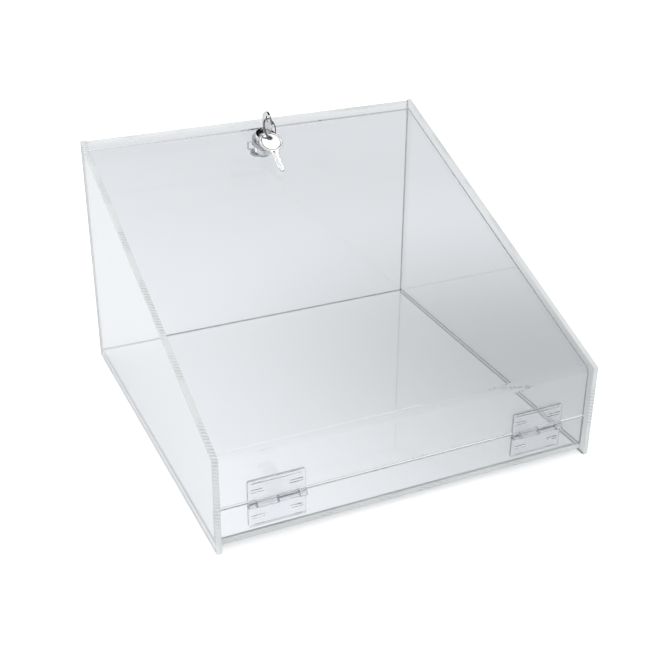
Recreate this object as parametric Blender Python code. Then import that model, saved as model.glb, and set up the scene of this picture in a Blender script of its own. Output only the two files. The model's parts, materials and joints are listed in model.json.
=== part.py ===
"""Counter display case of clear acrylic sheet, with a sloping lid hinged along the front and a cam lock.

Metres. x runs left to right, y front to back and z up from the counter.
The origin is the middle of the footprint, on the counter.
The lock's pieces are drawn in the lock's own frame: x across, y uphill along the lid, z out of the lid,
from the point where the lock's axis meets the lid's top face. They are then turned with the slope.
"""
import math

import bmesh
import bpy
from mathutils import Matrix, Vector

# Sheets of the case
SHEET = 0.004
WIDTH = 0.300
DEPTH = 0.304
FRONT_HEIGHT = 0.076
BACK_HEIGHT = 0.196
APEX_FLAT = 0.002
INSET = 0.004
BASE_RAISE = 0.004
RAIL_TOP = 0.0322
BACK_TOP_DROP = 0.0015
SEAT_GAP = 0.0003
EDGE_BEVEL = 0.0003

# Lid, bent from one sheet
LID_SIDE_GAP = 0.0008
LID_BACK_GAP = 0.001
LID_RAIL_GAP = 0.0006
BEND_RADIUS = 0.003
BEND_STEPS = 10

# Moulded hinges, glued to the outside of the rail and of the lid's front flange
LEFT_HINGE_INSET = 0.045
RIGHT_HINGE_INSET = 0.0485
HINGE_WIDTH = 0.042
LEAF_HEIGHT = 0.0186
LEAF_THICKNESS = 0.002
LEAF_CORNER = 0.0015
KNUCKLE_RADIUS = 0.0027
SHORT_KNUCKLE = 0.0055
KNUCKLE_GAP = 0.0004
PIN_RADIUS = 0.0012
PIN_CLEARANCE = 0.0001
PIN_PROUD = 0.0008

# Cam lock
LOCK_SIDE = 0.0021
LOCK_FROM_END = 0.0126
HEAD_RADIUS = 0.0087
HEAD_HEIGHT = 0.003
HEAD_CHAMFER = 0.0008
BARREL_RADIUS = 0.0077
BARREL_DEPTH = 0.0168
PLUG_RADIUS = 0.0054
PLUG_CLEARANCE = 0.0001
WASHER_RADIUS = 0.011
WASHER_THICKNESS = 0.0008
NUT_FLATS = 0.020
NUT_THICKNESS = 0.004
CAM_THICKNESS = 0.002
CAM_HUB_RADIUS = 0.0062
CAM_TIP_RADIUS = 0.004
CAM_BITE = 0.0034
SLOT_CLEARANCE = 0.0015
TAIL_SIDE = 0.0052
SCREW_RADIUS = 0.0013
SCREW_HEAD_RADIUS = 0.0042
SCREW_HEAD_HEIGHT = 0.0018
SCREW_SLOT = 0.001
WAFER_COUNT = 5
WAFER_PITCH = 0.0026
WAFER_THICKNESS = 0.0006
WAFER_LENGTH = 0.009
WAFER_WIDTH = 0.0048

# The two keys, cut alike
KEY_THICKNESS = 0.0018
BLADE_WIDTH = 0.0062
BLADE_LENGTH = 0.0185
BLADE_TIP = 0.002
BLADE_CUTS = (0.0008, 0.0014, 0.0006, 0.0012, 0.0009)
CUT_PITCH = 0.0026
CUT_FLAT = 0.0008
SHOULDER_WIDTH = 0.0076
BOW_RADIUS = 0.0097
BOW_CENTRE = 0.0112
KEY_HOLE_RADIUS = 0.00275
KEY_HOLE_CENTRE = 0.0155

# Split ring through both keys
RING_RADIUS = 0.0088
RING_WIRE = 0.00045
RING_PITCH = 0.001
RING_LEAN = math.radians(30.4)
RING_HEADING = math.radians(39)
RING_STEP_ANGLE = math.radians(50)
RING_END_GAP = math.radians(5)
RING_SIDES = 8
RING_STEPS = 66
SPARE_ON_RING = math.radians(27.8)
SPARE_LEAN = math.radians(0.7)
SPARE_DIP = math.radians(13.1)

# How finely round shapes are cut
ROUND_STEPS = 32
SMALL_STEPS = 20
BEVEL_LIMIT = math.radians(40)
SMOOTH_LIMIT = math.radians(35)

# Places worked out from the sizes above
SLOPE = math.atan2(BACK_HEIGHT - FRONT_HEIGHT, DEPTH - APEX_FLAT)
UPHILL = Vector((0.0, math.cos(SLOPE), math.sin(SLOPE)))
OUTWARD = Vector((0.0, -math.sin(SLOPE), math.cos(SLOPE)))
KNUCKLES_PROUD = max(0.0, 2.0 * KNUCKLE_RADIUS + SEAT_GAP - INSET)
FRONT_Y = -(DEPTH - KNUCKLES_PROUD) / 2.0
BACK_Y = FRONT_Y + DEPTH
FACE_Y = FRONT_Y + INSET
INNER_X = WIDTH / 2.0 - SHEET
BETWEEN_X = INNER_X - SEAT_GAP
LEFT_HINGE_X = -WIDTH / 2.0 + LEFT_HINGE_INSET
RIGHT_HINGE_X = WIDTH / 2.0 - RIGHT_HINGE_INSET
LID_X = INNER_X - LID_SIDE_GAP
BACK_INNER_Y = BACK_Y - SHEET
BASE_TOP = BASE_RAISE + SHEET
LID_BOTTOM = RAIL_TOP + LID_RAIL_GAP
LID_FALL = INSET + SHEET
PIN_Y = FACE_Y - SEAT_GAP - KNUCKLE_RADIUS
PIN_Z = RAIL_TOP + LID_RAIL_GAP / 2.0
PIN_LINE = Vector((0.0, PIN_Y, PIN_Z))
EDGE_START = Vector((0.0, FRONT_Y, FRONT_HEIGHT))
RIGHTWARD = Vector((1.0, 0.0, 0.0))
LID_END = (BACK_INNER_Y - LID_BACK_GAP - FRONT_Y - LID_FALL * math.sin(SLOPE)) / math.cos(SLOPE)
LOCK_POINT = EDGE_START + LOCK_SIDE * RIGHTWARD + (LID_END - LOCK_FROM_END) * UPHILL - INSET * OUTWARD
BARREL_END = -BARREL_DEPTH
CAM_TOP = BARREL_END - SEAT_GAP
CAM_BOTTOM = CAM_TOP - CAM_THICKNESS
SHOULDER_Z = HEAD_HEIGHT + SEAT_GAP
BLADE_END_Z = SHOULDER_Z - BLADE_LENGTH
KEYWAY_X = KEY_THICKNESS / 2.0 + SEAT_GAP
KEYWAY_Y = BLADE_WIDTH / 2.0 + SEAT_GAP
WAFER_TOP = SHOULDER_Z - WAFER_PITCH


def clear_scene():
    """Remove every object that the file was opened with."""
    for thing in list(bpy.data.objects):
        bpy.data.objects.remove(thing, do_unlink=True)


def paint(thing, colour, roughness, metallic=0.0, transmission=0.0):
    """Give an object its own material."""
    material = bpy.data.materials.new(thing.name)
    material.use_nodes = True
    shader = material.node_tree.nodes["Principled BSDF"]
    shader.inputs["Base Color"].default_value = (*colour, 1.0)
    shader.inputs["Roughness"].default_value = roughness
    shader.inputs["Metallic"].default_value = metallic
    shader.inputs["Transmission Weight"].default_value = transmission
    thing.data.materials.append(material)


def paint_acrylic(thing):
    """Clear acrylic sheet."""
    paint(thing, (0.93, 0.95, 0.96), 0.05, transmission=0.9)


def paint_moulding(thing):
    """Clear moulded plastic, a little duller than the sheet."""
    paint(thing, (0.90, 0.92, 0.93), 0.15, transmission=0.8)


def paint_chrome(thing):
    """Bright plating on zinc or steel."""
    paint(thing, (0.75, 0.75, 0.76), 0.12, metallic=1.0)


def paint_steel(thing):
    """Plain pressed or turned steel."""
    paint(thing, (0.56, 0.56, 0.57), 0.32, metallic=1.0)


def paint_brass(thing):
    """Bare brass of the small inner pieces."""
    paint(thing, (0.72, 0.56, 0.28), 0.35, metallic=1.0)


def object_from(bm, name, smooth=True):
    """Turn a finished bmesh into a named object in the scene."""
    bmesh.ops.recalc_face_normals(bm, faces=bm.faces)
    mesh = bpy.data.meshes.new(name)
    bm.to_mesh(mesh)
    bm.free()
    if smooth:
        mesh.shade_smooth()
        mesh.set_sharp_from_angle(angle=SMOOTH_LIMIT)
    thing = bpy.data.objects.new(name, mesh)
    bpy.context.scene.collection.objects.link(thing)
    return thing


def empty_at(name, location, rotation=(0.0, 0.0, 0.0), parent=None):
    """Place an empty that marks an axis and carries pieces."""
    empty = bpy.data.objects.new(name, None)
    empty.location = location
    empty.rotation_euler = rotation
    empty.parent = parent
    bpy.context.scene.collection.objects.link(empty)
    return empty


def extruded(outline, start, sweep, across, along):
    """Solid from a flat outline: its points lie at start + a*across + b*along, and it runs on by sweep."""
    bm = bmesh.new()
    corners = [bm.verts.new(start + a * across + b * along) for a, b in outline]
    face = bm.faces.new(corners)
    moved = bmesh.ops.extrude_face_region(bm, geom=[face])["geom"]
    bmesh.ops.translate(bm, verts=[v for v in moved if isinstance(v, bmesh.types.BMVert)], vec=sweep)
    return bm


def sheet_between(outline, left, right):
    """Sheet whose outline, given as (y, z) in the world, runs from x = left to x = right."""
    sweep = Vector((right - left, 0.0, 0.0))
    start = Vector((left, 0.0, 0.0))
    return extruded(outline, start, sweep, Vector((0.0, 1.0, 0.0)), Vector((0.0, 0.0, 1.0)))


def flat_plate(outline, bottom, top):
    """Plate whose outline, given as (x, y), lies level in its own frame from z = bottom to z = top."""
    sweep = Vector((0.0, 0.0, top - bottom))
    start = Vector((0.0, 0.0, bottom))
    return extruded(outline, start, sweep, Vector((1.0, 0.0, 0.0)), Vector((0.0, 1.0, 0.0)))


def box_outline(low_a, high_a, low_b, high_b):
    """Corners of a rectangle."""
    return [(low_a, low_b), (high_a, low_b), (high_a, high_b), (low_a, high_b)]


def arc(centre, radius, start, end, steps):
    """Points along a circle's arc, both ends included."""
    points = []
    for step in range(steps + 1):
        angle = start + (end - start) * step / steps
        points.append((centre[0] + radius * math.cos(angle), centre[1] + radius * math.sin(angle)))
    return points


def turned(profile, steps=ROUND_STEPS, ring=False):
    """Solid turned about its own z axis from (radius, z) points. A ring's profile closes on itself."""
    bm = bmesh.new()
    points = [bm.verts.new((radius, 0.0, z)) for radius, z in profile]
    pairs = list(zip(points, points[1:]))
    if ring:
        pairs.append((points[-1], points[0]))
    lines = [bm.edges.new(pair) for pair in pairs]
    bmesh.ops.spin(bm, geom=points + lines, axis=(0.0, 0.0, 1.0), cent=(0.0, 0.0, 0.0),
                   angle=2.0 * math.pi, steps=steps)
    bmesh.ops.remove_doubles(bm, verts=bm.verts, dist=0.000001)
    return bm


def rod(radius, bottom, top, steps=SMALL_STEPS):
    """Plain round rod along its own z axis."""
    return turned([(0.0, top), (radius, top), (radius, bottom), (0.0, bottom)], steps)


def cutter_from(bm, name, parent=None):
    """Hidden tool body for a Boolean."""
    tool = object_from(bm, name, smooth=False)
    tool.parent = parent
    tool.hide_render = True
    tool.display_type = "WIRE"
    return tool


def combine(thing, tool, operation="DIFFERENCE"):
    """Cut a tool body out of an object, or join it to the object."""
    boolean = thing.modifiers.new(tool.name, "BOOLEAN")
    boolean.operation = operation
    boolean.solver = "EXACT"
    boolean.object = tool


def soften(thing, width=EDGE_BEVEL):
    """Break the sharp edges, as polishing leaves them."""
    bevel = thing.modifiers.new("polished edges", "BEVEL")
    bevel.width = width
    bevel.segments = 1
    bevel.limit_method = "ANGLE"
    bevel.angle_limit = BEVEL_LIMIT


def slope_z(y, below):
    """Height at depth y of the line that runs a given distance under the side panels' sloping edge."""
    return FRONT_HEIGHT + ((y - FRONT_Y) * math.sin(SLOPE) - below) / math.cos(SLOPE)


def slope_yz(along, below):
    """Point at a distance along the slope from the front corner, and at a depth under the sloping edge."""
    point = EDGE_START + along * UPHILL - below * OUTWARD
    return (point.y, point.z)


def back_face_distance(z):
    """Uphill distance from the lock's axis to the back panel's inner face, at a level of the lock's frame."""
    return (BACK_INNER_Y - LOCK_POINT.y + z * math.sin(SLOPE)) / math.cos(SLOPE)


CAM_LENGTH = back_face_distance(CAM_BOTTOM) + CAM_BITE / math.cos(SLOPE)


def side_panel(name, left):
    """Upright side panel, standing on the counter, with its sloping top edge above the lid's."""
    outline = [(FRONT_Y, 0.0), (BACK_Y, 0.0), (BACK_Y, BACK_HEIGHT), (BACK_Y - APEX_FLAT, BACK_HEIGHT),
               (FRONT_Y, FRONT_HEIGHT)]
    panel = object_from(sheet_between(outline, left, left + SHEET), name, smooth=False)
    soften(panel)
    paint_acrylic(panel)


def base_panel():
    """Floor of the case, held between the side panels just above the counter."""
    outline = box_outline(FACE_Y, BACK_INNER_Y - SEAT_GAP, BASE_RAISE, BASE_TOP)
    panel = object_from(sheet_between(outline, -BETWEEN_X, BETWEEN_X), "base_panel", smooth=False)
    soften(panel)
    paint_acrylic(panel)


def front_rail():
    """Low upright rail along the front, standing on the floor. It carries the hinges' lower leaves."""
    outline = box_outline(FACE_Y, FACE_Y + SHEET, BASE_TOP + SEAT_GAP, RAIL_TOP)
    panel = object_from(sheet_between(outline, -BETWEEN_X, BETWEEN_X), "front_rail", smooth=False)
    soften(panel)
    paint_acrylic(panel)


def back_panel():
    """Back of the case, its top cut to the slope, with the slot that takes the turned cam."""
    outline = [(BACK_INNER_Y, BASE_RAISE), (BACK_Y, BASE_RAISE), (BACK_Y, slope_z(BACK_Y, BACK_TOP_DROP)),
               (BACK_INNER_Y, slope_z(BACK_INNER_Y, BACK_TOP_DROP))]
    panel = object_from(sheet_between(outline, -BETWEEN_X, BETWEEN_X), "back_panel", smooth=False)
    inner = back_face_distance(CAM_BOTTOM)
    low = LOCK_POINT + inner * UPHILL + CAM_BOTTOM * OUTWARD
    high = LOCK_POINT + CAM_LENGTH * UPHILL + CAM_TOP * OUTWARD
    sweep_x = math.sqrt(CAM_LENGTH ** 2 - inner ** 2)
    slot = box_outline(BACK_INNER_Y - SHEET, BACK_Y + SHEET, low.z - SLOT_CLEARANCE, high.z + SLOT_CLEARANCE)
    left = LOCK_SIDE - sweep_x - SLOT_CLEARANCE
    right = LOCK_SIDE + CAM_TIP_RADIUS + SLOT_CLEARANCE
    combine(panel, cutter_from(sheet_between(slot, left, right), "cam_slot_tool"))
    soften(panel)
    paint_acrylic(panel)


def lid_panel(hinge_axis):
    """Lid: one sheet bent into a short front flange and the long sloping panel, with the lock's hole."""
    inner_y = FACE_Y + SHEET
    centre_y = inner_y + BEND_RADIUS
    centre_z = slope_z(centre_y, LID_FALL + BEND_RADIUS)
    facing_front = math.pi
    facing_up = math.pi / 2.0 + SLOPE
    outline = [(inner_y, LID_BOTTOM), (FACE_Y, LID_BOTTOM)]
    outline += arc((centre_y, centre_z), BEND_RADIUS + SHEET, facing_front, facing_up, BEND_STEPS)
    outline += [slope_yz(LID_END, INSET), slope_yz(LID_END, LID_FALL)]
    outline += arc((centre_y, centre_z), BEND_RADIUS, facing_up, facing_front, BEND_STEPS)
    bm = sheet_between(outline, -LID_X, LID_X)
    bmesh.ops.translate(bm, verts=bm.verts, vec=-PIN_LINE)
    lid = object_from(bm, "lid_panel")
    lid.parent = hinge_axis
    drill = rod(BARREL_RADIUS + SEAT_GAP, -2.0 * SHEET, SHEET, ROUND_STEPS)
    hole = cutter_from(drill, "lock_hole_tool", hinge_axis)
    hole.location = LOCK_POINT - PIN_LINE
    hole.rotation_euler = (SLOPE, 0.0, 0.0)
    combine(lid, hole)
    soften(lid)
    paint_acrylic(lid)


def knuckle_spans():
    """Stretches of the pin that one leaf's knuckles cover, the short one and then the long one."""
    half_gap = KNUCKLE_GAP / 2.0
    short = (-HINGE_WIDTH / 2.0, -HINGE_WIDTH / 2.0 + SHORT_KNUCKLE - half_gap)
    long = (half_gap, HINGE_WIDTH / 2.0 - SHORT_KNUCKLE - half_gap)
    return [short, long]


def lengthways(bm):
    """Turn a body drawn along z so that it lies along x."""
    bmesh.ops.rotate(bm, verts=bm.verts, matrix=Matrix.Rotation(math.pi / 2.0, 3, "Y"))
    return bm


def leaf_outline():
    """Leaf seen from the front, as (x, z) from the pin: round lower corners, notches for the other leaf."""
    half = HINGE_WIDTH / 2.0
    notch = -(KNUCKLE_RADIUS + SEAT_GAP)
    reach = -KNUCKLE_RADIUS / 3.0
    (short_start, short_end), (long_start, long_end) = knuckle_spans()
    low = -LEAF_HEIGHT + LEAF_CORNER
    points = arc((-half + LEAF_CORNER, low), LEAF_CORNER, -math.pi, -math.pi / 2.0, 5)
    points += arc((half - LEAF_CORNER, low), LEAF_CORNER, -math.pi / 2.0, 0.0, 5)
    points += [(half, notch), (long_end, notch), (long_end, reach), (long_start, reach)]
    points += [(long_start, notch), (short_end, notch), (short_end, reach), (short_start, reach)]
    return points


def hinge_leaf_mesh():
    """One moulded leaf with its two knuckles and the pin's bore, drawn hanging down from the pin."""
    front = KNUCKLE_RADIUS - LEAF_THICKNESS
    bm = extruded(leaf_outline(), Vector((0.0, front, 0.0)), Vector((0.0, LEAF_THICKNESS, 0.0)),
                  Vector((1.0, 0.0, 0.0)), Vector((0.0, 0.0, 1.0)))
    leaf = object_from(bm, "leaf_pattern")
    for index, (start, end) in enumerate(knuckle_spans()):
        knuckle = lengthways(rod(KNUCKLE_RADIUS, start, end, 24))
        combine(leaf, cutter_from(knuckle, f"knuckle_tool_{index}"), "UNION")
    bore = lengthways(rod(PIN_RADIUS + PIN_CLEARANCE, -HINGE_WIDTH, HINGE_WIDTH, 24))
    combine(leaf, cutter_from(bore, "pin_bore_tool"))
    soften(leaf, EDGE_BEVEL / 2.0)
    bpy.context.view_layer.update()
    shape = leaf.evaluated_get(bpy.context.evaluated_depsgraph_get())
    mesh = bpy.data.meshes.new_from_object(shape)
    mesh.name = "hinge_leaf"
    mesh.shade_smooth()
    mesh.set_sharp_from_angle(angle=SMOOTH_LIMIT)
    bpy.data.objects.remove(leaf)
    return mesh


def hinge(side, x, leaf, hinge_axis):
    """One hinge: a leaf on the rail, the same leaf turned over on the lid, and the pin through both."""
    lower = bpy.data.objects.new(f"{side}_hinge_lower_leaf", leaf.copy())
    lower.location = PIN_LINE + Vector((x, 0.0, 0.0))
    upper = bpy.data.objects.new(f"{side}_hinge_upper_leaf", leaf.copy())
    upper.parent = hinge_axis
    upper.location = (x, 0.0, 0.0)
    upper.rotation_euler = (0.0, math.pi, 0.0)
    for thing in (lower, upper):
        bpy.context.scene.collection.objects.link(thing)
        paint_moulding(thing)
    half = HINGE_WIDTH / 2.0
    pin = object_from(lengthways(rod(PIN_RADIUS, -half, half + PIN_PROUD, 24)), f"{side}_hinge_pin")
    pin.location = lower.location
    paint_moulding(pin)


def lock_housing(lock_axis):
    """Lock body: the round head on the lid, and the barrel that passes through to the inside."""
    bore = PLUG_RADIUS + PLUG_CLEARANCE
    profile = [(bore, HEAD_HEIGHT), (HEAD_RADIUS - HEAD_CHAMFER, HEAD_HEIGHT),
               (HEAD_RADIUS, HEAD_HEIGHT - HEAD_CHAMFER), (HEAD_RADIUS, SEAT_GAP), (BARREL_RADIUS, SEAT_GAP),
               (BARREL_RADIUS, BARREL_END), (bore, BARREL_END)]
    housing = object_from(turned(profile, ring=True), "lock_housing")
    housing.parent = lock_axis
    paint_chrome(housing)


def lock_washer(lock_axis):
    """Flat washer under the lid."""
    top = -SHEET - SEAT_GAP
    bore = BARREL_RADIUS + SEAT_GAP
    profile = [(bore, top), (WASHER_RADIUS, top), (WASHER_RADIUS, top - WASHER_THICKNESS),
               (bore, top - WASHER_THICKNESS)]
    washer = object_from(turned(profile, ring=True), "lock_washer")
    washer.parent = lock_axis
    paint_steel(washer)


def lock_nut(lock_axis):
    """Hexagon nut that clamps the lock to the lid."""
    top = -SHEET - WASHER_THICKNESS - 2.0 * SEAT_GAP
    corners = NUT_FLATS / math.sqrt(3.0)
    outline = arc((0.0, 0.0), corners, 0.0, math.radians(300), 5)
    nut = object_from(flat_plate(outline, top - NUT_THICKNESS, top), "lock_nut")
    nut.parent = lock_axis
    hole = rod(BARREL_RADIUS + SEAT_GAP, top - 2.0 * NUT_THICKNESS, top + NUT_THICKNESS, ROUND_STEPS)
    combine(nut, cutter_from(hole, "nut_bore_tool", lock_axis))
    soften(nut)
    paint_steel(nut)


def lock_plug(lock_axis):
    """Turning plug: keyway, wafer slots, and a square tail that drives the cam."""
    plug = object_from(rod(PLUG_RADIUS, BARREL_END, HEAD_HEIGHT, ROUND_STEPS), "lock_plug")
    plug.parent = lock_axis
    half_tail = TAIL_SIDE / 2.0
    tail = flat_plate(box_outline(-half_tail, half_tail, -half_tail, half_tail),
                      CAM_BOTTOM + SEAT_GAP, BARREL_END + SEAT_GAP)
    combine(plug, cutter_from(tail, "tail_tool", lock_axis), "UNION")
    keyway = flat_plate(box_outline(-KEYWAY_X, KEYWAY_X, -KEYWAY_Y, KEYWAY_Y),
                        BLADE_END_Z - SEAT_GAP, HEAD_HEIGHT + SHEET)
    combine(plug, cutter_from(keyway, "keyway_tool", lock_axis))
    half_width = WAFER_WIDTH / 2.0 + SEAT_GAP
    slots = bmesh.new()
    for index in range(WAFER_COUNT):
        middle = WAFER_TOP - WAFER_PITCH * index
        half = WAFER_THICKNESS / 2.0 + SEAT_GAP
        matrix = Matrix.LocRotScale(Vector((0.0, 0.0, middle)), None,
                                    Vector((2.0 * half_width, 3.0 * PLUG_RADIUS, 2.0 * half)))
        bmesh.ops.create_cube(slots, size=1.0, matrix=matrix)
    combine(plug, cutter_from(slots, "wafer_slot_tool", lock_axis))
    hole = rod(SCREW_RADIUS + SEAT_GAP, CAM_BOTTOM - SHEET, BLADE_END_Z, SMALL_STEPS)
    combine(plug, cutter_from(hole, "screw_bore_tool", lock_axis))
    paint_chrome(plug)


def lock_wafer(number, lock_axis):
    """One sliding wafer across the plug, a small frame whose window the key's blade passes and lifts."""
    middle = WAFER_TOP - WAFER_PITCH * (number - 1)
    half_width = WAFER_WIDTH / 2.0
    half_length = WAFER_LENGTH / 2.0
    half = WAFER_THICKNESS / 2.0
    outline = box_outline(-half_width, half_width, -half_length, half_length)
    blank = flat_plate(outline, middle - half, middle + half)
    wafer = object_from(blank, f"lock_wafer_{number}", smooth=False)
    wafer.parent = lock_axis
    opening = box_outline(-KEYWAY_X, KEYWAY_X, -KEYWAY_Y, KEYWAY_Y)
    window = flat_plate(opening, middle - 2.0 * half, middle + 2.0 * half)
    combine(wafer, cutter_from(window, f"wafer_window_tool_{number}", lock_axis))
    paint_brass(wafer)


def cam_outline():
    """Cam seen from above, as (x, y) from the lock's axis: a round hub and a tapered arm towards -x."""
    distance = CAM_LENGTH - CAM_TIP_RADIUS
    lean = math.acos((CAM_HUB_RADIUS - CAM_TIP_RADIUS) / distance)
    tip = arc((-distance, 0.0), CAM_TIP_RADIUS, math.pi - lean, math.pi + lean, 12)
    hub = arc((0.0, 0.0), CAM_HUB_RADIUS, -math.pi + lean, math.pi - lean, 18)
    return tip + hub


def lock_cam(lock_axis):
    """Cam on the plug's tail. At rest it points sideways and clears the back panel: unlocked."""
    cam = object_from(flat_plate(cam_outline(), CAM_BOTTOM, CAM_TOP), "lock_cam")
    cam.parent = lock_axis
    half = TAIL_SIDE / 2.0 + SEAT_GAP
    hole = flat_plate(box_outline(-half, half, -half, half), CAM_BOTTOM - SHEET, CAM_TOP + SHEET)
    combine(cam, cutter_from(hole, "cam_hole_tool", lock_axis))
    soften(cam, EDGE_BEVEL / 2.0)
    paint_steel(cam)


def cam_screw(lock_axis):
    """Slotted screw that holds the cam on the plug's tail."""
    head_top = CAM_BOTTOM - SEAT_GAP
    head_bottom = head_top - SCREW_HEAD_HEIGHT
    shank_top = BLADE_END_Z - SEAT_GAP
    profile = [(0.0, shank_top), (SCREW_RADIUS, shank_top), (SCREW_RADIUS, head_top),
               (SCREW_HEAD_RADIUS, head_top), (SCREW_HEAD_RADIUS, head_bottom), (0.0, head_bottom)]
    screw = object_from(turned(profile, SMALL_STEPS), "cam_screw")
    screw.parent = lock_axis
    half = SCREW_SLOT / 2.0
    groove = flat_plate(box_outline(-2.0 * SCREW_HEAD_RADIUS, 2.0 * SCREW_HEAD_RADIUS, -half, half),
                        head_bottom - SHEET, head_bottom + SCREW_SLOT)
    combine(screw, cutter_from(groove, "screw_slot_tool", lock_axis))
    paint_steel(screw)


def key_outline():
    """Key seen flat, as (a, b): b runs from the blade's tip, past the shoulder at 0, to the bow."""
    half_blade = BLADE_WIDTH / 2.0
    half_shoulder = SHOULDER_WIDTH / 2.0
    meet = math.asin(half_shoulder / BOW_RADIUS)
    points = [(half_blade, 0.0), (half_blade, -CUT_PITCH / 2.0)]
    for index, depth in enumerate(BLADE_CUTS):
        middle = -CUT_PITCH * (index + 1)
        half_cut = CUT_FLAT / 2.0
        points.append((half_blade - depth, middle + half_cut))
        points.append((half_blade - depth, middle - half_cut))
        points.append((half_blade, middle - CUT_PITCH / 2.0))
    points += [(half_blade, -BLADE_LENGTH + BLADE_TIP), (half_blade / 2.0, -BLADE_LENGTH)]
    points += [(-half_blade / 2.0, -BLADE_LENGTH), (-half_blade, -BLADE_LENGTH + BLADE_TIP)]
    points += [(-half_blade, 0.0), (-half_shoulder, 0.0)]
    points += arc((0.0, BOW_CENTRE), BOW_RADIUS, -math.pi / 2.0 - meet, -2.5 * math.pi + meet, 30)
    points.append((half_shoulder, 0.0))
    return points


def key(name, parent, middle, across, along):
    """One key. Middle is its shoulder's middle in the parent's frame; along points to the bow."""
    facing = across.cross(along)
    half = KEY_THICKNESS / 2.0
    bm = extruded(key_outline(), -half * facing, KEY_THICKNESS * facing, across, along)
    thing = object_from(bm, name)
    thing.parent = parent
    thing.location = middle
    hole = rod(KEY_HOLE_RADIUS, -KEY_THICKNESS, KEY_THICKNESS, 24)
    turn = Matrix((across, along, facing)).transposed()
    bmesh.ops.rotate(hole, verts=hole.verts, matrix=turn)
    bmesh.ops.translate(hole, verts=hole.verts, vec=KEY_HOLE_CENTRE * along)
    tool = cutter_from(hole, f"{name}_hole_tool", parent)
    tool.location = middle
    combine(thing, tool)
    soften(thing, EDGE_BEVEL / 2.0)
    paint_chrome(thing)


# Where the ring hangs, and where the spare key hangs on it
RING_TOP = LOCK_POINT + (SHOULDER_Z + KEY_HOLE_CENTRE) * OUTWARD
RING_UP = Vector((0.0, math.sin(RING_LEAN), math.cos(RING_LEAN)))
RING_AWAY = Vector((0.0, math.cos(RING_LEAN), -math.sin(RING_LEAN)))
RING_ACROSS = math.cos(RING_HEADING) * RIGHTWARD + math.sin(RING_HEADING) * RING_AWAY
RING_NORMAL = RING_ACROSS.cross(RING_UP)
RING_CENTRE = RING_TOP - RING_RADIUS * RING_UP
SPARE_HOLE = RING_CENTRE - RING_RADIUS * (math.cos(SPARE_ON_RING) * RING_UP
                                          + math.sin(SPARE_ON_RING) * RING_ACROSS)
SPARE_EDGEWISE = math.cos(SPARE_LEAN) * RIGHTWARD + math.sin(SPARE_LEAN) * OUTWARD
SPARE_LIFT = math.cos(SPARE_LEAN) * OUTWARD - math.sin(SPARE_LEAN) * RIGHTWARD
SPARE_TO_BOW = math.cos(SPARE_DIP) * UPHILL + math.sin(SPARE_DIP) * SPARE_LIFT
SPARE_FACING = SPARE_EDGEWISE.cross(SPARE_TO_BOW)


def ring_point(angle):
    """Centre of the wire at an angle round the ring, the two turns side by side with one step between."""
    start = 2.0 * math.pi - RING_STEP_ANGLE / 2.0
    part = min(1.0, max(0.0, (angle - start) / RING_STEP_ANGLE))
    offset = RING_PITCH * (part * part * (3.0 - 2.0 * part) - 0.5)
    outward = math.cos(angle) * RING_ACROSS + math.sin(angle) * RING_UP
    return RING_CENTRE + RING_RADIUS * outward + offset * RING_NORMAL, outward


def key_ring(ring_pivot):
    """Split ring: one wire wound twice, as a tube swept along its own path, with closed ends."""
    bm = bmesh.new()
    first = RING_STEP_ANGLE / 2.0 + RING_END_GAP
    last = 4.0 * math.pi - first
    loops = []
    for step in range(RING_STEPS + 1):
        centre, outward = ring_point(first + (last - first) * step / RING_STEPS)
        loop = []
        for side in range(RING_SIDES):
            turn = 2.0 * math.pi * side / RING_SIDES
            place = centre + RING_WIRE * (math.cos(turn) * outward + math.sin(turn) * RING_NORMAL)
            loop.append(bm.verts.new(place - RING_TOP))
        loops.append(loop)
    for loop, following in zip(loops, loops[1:]):
        for side in range(RING_SIDES):
            beside = (side + 1) % RING_SIDES
            bm.faces.new((loop[side], loop[beside], following[beside], following[side]))
    bm.faces.new(loops[0])
    bm.faces.new(loops[-1])
    ring = object_from(bm, "key_ring")
    ring.parent = ring_pivot
    paint_chrome(ring)


def build():
    """Model the whole case."""
    clear_scene()
    hinge_axis = empty_at("lid_hinge_axis", PIN_LINE)
    lock_axis = empty_at("lock_axis", LOCK_POINT - PIN_LINE, (SLOPE, 0.0, 0.0), hinge_axis)
    ring_pivot = empty_at("ring_pivot", RING_TOP - PIN_LINE, parent=hinge_axis)
    spare_pivot = empty_at("spare_key_pivot", SPARE_HOLE - PIN_LINE, parent=hinge_axis)
    side_panel("left_side_panel", -WIDTH / 2.0)
    side_panel("right_side_panel", WIDTH / 2.0 - SHEET)
    base_panel()
    front_rail()
    back_panel()
    lid_panel(hinge_axis)
    leaf = hinge_leaf_mesh()
    hinge("left", LEFT_HINGE_X, leaf, hinge_axis)
    hinge("right", RIGHT_HINGE_X, leaf, hinge_axis)
    lock_housing(lock_axis)
    lock_washer(lock_axis)
    lock_nut(lock_axis)
    lock_plug(lock_axis)
    for number in range(1, WAFER_COUNT + 1):
        lock_wafer(number, lock_axis)
    lock_cam(lock_axis)
    cam_screw(lock_axis)
    shoulder = Vector((0.0, 0.0, SHOULDER_Z))
    key("lock_key", lock_axis, shoulder, Vector((0.0, 1.0, 0.0)), Vector((0.0, 0.0, 1.0)))
    key_ring(ring_pivot)
    key("spare_key", spare_pivot, -KEY_HOLE_CENTRE * SPARE_TO_BOW, SPARE_EDGEWISE, SPARE_TO_BOW)
    bpy.context.view_layer.update()


build()
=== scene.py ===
"""Looks of a counter display case: clear acrylic sheet, moulded hinges, a cam lock and its two keys.

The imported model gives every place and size. This script gives each surface its finish, and swaps the
small pieces for finer ones of the same size.
"""
import json
import logging
import math
from collections.abc import Callable
from dataclasses import dataclass
from enum import Enum

import bmesh
import bpy
import numpy as np
from mathutils import Matrix, Vector


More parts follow.
